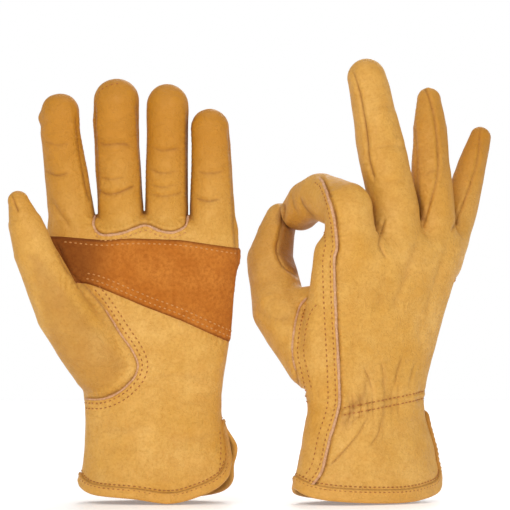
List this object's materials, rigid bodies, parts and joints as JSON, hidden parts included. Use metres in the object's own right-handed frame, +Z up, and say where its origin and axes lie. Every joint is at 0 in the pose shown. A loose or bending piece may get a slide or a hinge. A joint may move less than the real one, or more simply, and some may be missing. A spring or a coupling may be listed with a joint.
{
  "type": "pair of leather work gloves",
  "caption": "Pair of unlined leather driver's work gloves, filled as if worn: one open hand, one with thumb and index closed to a ring.",
  "frame": {"origin": "middle of the pair's box, at the level the cuffs stand on", "axes": "+X from the left glove to the right glove, +Y away from the side with the left palm, +Z up from the cuffs to the finger tips"},
  "size_m": [0.2879, 0.1086, 0.261],
  "materials": {
    "palm_leather": "smooth grain, golden tan",
    "back_leather": "smooth grain, golden tan",
    "suede": "napped suede, orange brown",
    "binding": "rolled thin leather",
    "raw_edge": "cut edge, pale pink",
    "thread": "twisted sewing thread",
    "elastic": "woven elastic tape"
  },
  "bodies": {
    "left_hand": {"left_palm_leather": "palm_leather", "left_back_leather": "back_leather", "left_thumb_root": "palm_leather", "left_palm_patch": "suede", "left_finger_welt": "raw_edge", "left_back_seam": "raw_edge", "left_hem_binding": "binding", "left_hem_thread": "thread", "left_wrist_thread": "thread", "left_wrist_elastic": "elastic"},
    "right_hand": {"right_palm_leather": "palm_leather", "right_back_leather": "back_leather", "right_thumb_root": "palm_leather", "right_palm_patch": "suede", "right_finger_welt": "raw_edge", "right_back_seam": "raw_edge", "right_hem_binding": "binding", "right_hem_thread": "thread", "right_wrist_thread": "thread", "right_wrist_elastic": "elastic"},
    "left_index_base": {"left_index_base_front": "palm_leather", "left_index_base_back": "back_leather"},
    "left_index_tip": {"left_index_tip_front": "palm_leather", "left_index_tip_back": "back_leather"},
    "left_middle_base": {"left_middle_base_front": "palm_leather", "left_middle_base_back": "back_leather"},
    "left_middle_tip": {"left_middle_tip_front": "palm_leather", "left_middle_tip_back": "back_leather"},
    "left_ring_base": {"left_ring_base_front": "palm_leather", "left_ring_base_back": "back_leather"},
    "left_ring_tip": {"left_ring_tip_front": "palm_leather", "left_ring_tip_back": "back_leather"},
    "left_little_base": {"left_little_base_front": "palm_leather", "left_little_base_back": "back_leather"},
    "left_little_tip": {"left_little_tip_front": "palm_leather", "left_little_tip_back": "back_leather"},
    "left_thumb_base": {"left_thumb_base_front": "palm_leather", "left_thumb_base_back": "back_leather"},
    "left_thumb_tip": {"left_thumb_tip_front": "palm_leather", "left_thumb_tip_back": "back_leather"},
    "right_index_base": {"right_index_base_front": "palm_leather", "right_index_base_back": "back_leather"},
    "right_index_tip": {"right_index_tip_front": "palm_leather", "right_index_tip_back": "back_leather"},
    "right_middle_base": {"right_middle_base_front": "palm_leather", "right_middle_base_back": "back_leather"},
    "right_middle_tip": {"right_middle_tip_front": "palm_leather", "right_middle_tip_back": "back_leather"},
    "right_ring_base": {"right_ring_base_front": "palm_leather", "right_ring_base_back": "back_leather"},
    "right_ring_tip": {"right_ring_tip_front": "palm_leather", "right_ring_tip_back": "back_leather"},
    "right_little_base": {"right_little_base_front": "palm_leather", "right_little_base_back": "back_leather"},
    "right_little_tip": {"right_little_tip_front": "palm_leather", "right_little_tip_back": "back_leather"},
    "right_thumb_base": {"right_thumb_base_front": "palm_leather", "right_thumb_base_back": "back_leather"},
    "right_thumb_tip": {"right_thumb_tip_front": "palm_leather", "right_thumb_tip_back": "back_leather"}
  },
  "joints": [
    {"name": "left_index_knuckle", "type": "hinge", "parent": "left_hand", "child": "left_index_base", "pos_m": [-0.10555, -0.01506, 0.175], "axis": [0.9919, -0.0135, 0.1261], "range_deg": [-12, 70], "stiffness_Nm_per_rad": 0.06},
    {"name": "left_index_middle", "type": "hinge", "parent": "left_index_base", "child": "left_index_tip", "pos_m": [-0.10915, -0.01806, 0.203], "axis": [0.9948, -0.026, 0.0983], "range_deg": [-8, 75], "stiffness_Nm_per_rad": 0.06},
    {"name": "left_middle_knuckle", "type": "hinge", "parent": "left_hand", "child": "left_middle_base", "pos_m": [-0.07605, -0.01506, 0.179], "axis": [0.9984, -0.0056, 0.056], "range_deg": [-12, 70], "stiffness_Nm_per_rad": 0.06},
    {"name": "left_middle_middle", "type": "hinge", "parent": "left_middle_base", "child": "left_middle_tip", "pos_m": [-0.07775, -0.01806, 0.209], "axis": [0.9992, -0.0094, 0.0391], "range_deg": [-8, 75], "stiffness_Nm_per_rad": 0.06},
    {"name": "left_ring_knuckle", "type": "hinge", "parent": "left_hand", "child": "left_ring_base", "pos_m": [-0.04885, -0.01506, 0.178], "axis": [0.9999, 0.0018, -0.0171], "range_deg": [-12, 70], "stiffness_Nm_per_rad": 0.06},
    {"name": "left_ring_middle", "type": "hinge", "parent": "left_ring_base", "child": "left_ring_tip", "pos_m": [-0.04835, -0.01806, 0.207], "axis": [0.9999, 0.0033, -0.0132], "range_deg": [-8, 75], "stiffness_Nm_per_rad": 0.06},
    {"name": "left_little_knuckle", "type": "hinge", "parent": "left_hand", "child": "left_little_base", "pos_m": [-0.02205, -0.01506, 0.173], "axis": [0.9999, -0.0014, 0.0118], "range_deg": [-12, 70], "stiffness_Nm_per_rad": 0.06},
    {"name": "left_little_middle", "type": "hinge", "parent": "left_little_base", "child": "left_little_tip", "pos_m": [-0.02235, -0.01806, 0.198], "axis": [0.9994, -0.0085, 0.0325], "range_deg": [-8, 75], "stiffness_Nm_per_rad": 0.06},
    {"name": "left_thumb_knuckle", "type": "hinge", "parent": "left_hand", "child": "left_thumb_base", "pos_m": [-0.10935, -0.03506, 0.1125], "axis": [0.5499, 0.7332, 0.4001], "range_deg": [-25, 0], "stiffness_Nm_per_rad": 0.06},
    {"name": "left_thumb_middle", "type": "hinge", "parent": "left_thumb_base", "child": "left_thumb_tip", "pos_m": [-0.12585, -0.04206, 0.148], "axis": [0.5783, 0.7711, 0.2664], "range_deg": [-10, 10], "stiffness_Nm_per_rad": 0.06},
    {"name": "right_index_knuckle", "type": "hinge", "parent": "right_hand", "child": "right_index_base", "pos_m": [0.05769, -0.01908, 0.173], "axis": [-0.8365, -0.5477, -0.016], "range_deg": [-55, 0], "stiffness_Nm_per_rad": 0.06},
    {"name": "right_index_middle", "type": "hinge", "parent": "right_index_base", "child": "right_index_tip", "pos_m": [0.04222, 0.00432, 0.181], "axis": [-0.8523, -0.5229, 0.0133], "range_deg": [-40, 0], "stiffness_Nm_per_rad": 0.06},
    {"name": "right_middle_knuckle", "type": "hinge", "parent": "right_hand", "child": "right_middle_base", "pos_m": [0.08568, -0.00176, 0.171], "axis": [-0.8407, -0.5052, -0.1946], "range_deg": [-12, 65], "stiffness_Nm_per_rad": 0.06},
    {"name": "right_middle_middle", "type": "hinge", "parent": "right_middle_base", "child": "right_middle_tip", "pos_m": [0.07829, -0.00256, 0.205], "axis": [-0.8449, -0.5093, -0.1638], "range_deg": [-8, 70], "stiffness_Nm_per_rad": 0.06},
    {"name": "right_ring_knuckle", "type": "hinge", "parent": "right_hand", "child": "right_ring_base", "pos_m": [0.10952, 0.01315, 0.168], "axis": [-0.8651, -0.5014, -0.0127], "range_deg": [-12, 65], "stiffness_Nm_per_rad": 0.06},
    {"name": "right_ring_middle", "type": "hinge", "parent": "right_ring_base", "child": "right_ring_tip", "pos_m": [0.10717, 0.01642, 0.199], "axis": [-0.8721, -0.4804, 0.0925], "range_deg": [-8, 70], "stiffness_Nm_per_rad": 0.06},
    {"name": "right_little_knuckle", "type": "hinge", "parent": "right_hand", "child": "right_little_base", "pos_m": [0.12294, 0.0313, 0.165], "axis": [-0.8333, -0.4311, 0.3461], "range_deg": [-12, 65], "stiffness_Nm_per_rad": 0.06},
    {"name": "right_little_middle", "type": "hinge", "parent": "right_little_base", "child": "right_little_tip", "pos_m": [0.12924, 0.0384, 0.189], "axis": [-0.8151, -0.3878, 0.4304], "range_deg": [-8, 70], "stiffness_Nm_per_rad": 0.06},
    {"name": "right_thumb_knuckle", "type": "hinge", "parent": "right_hand", "child": "right_thumb_base", "pos_m": [0.01964, 0.00283, 0.113], "axis": [-0.8115, 0.3466, -0.4704], "range_deg": [-25, 0], "stiffness_Nm_per_rad": 0.06},
    {"name": "right_thumb_middle", "type": "hinge", "parent": "right_thumb_base", "child": "right_thumb_tip", "pos_m": [0.01238, 0.0252, 0.142], "axis": [-0.9196, 0.3928, -0.0017], "range_deg": [-8, 0], "stiffness_Nm_per_rad": 0.06},
    {"name": "right_glove_lift", "type": "slide", "parent": "left_hand", "child": "right_hand", "axis": [0, 0, 1], "range_m": [0, 0.06]}
  ]
}
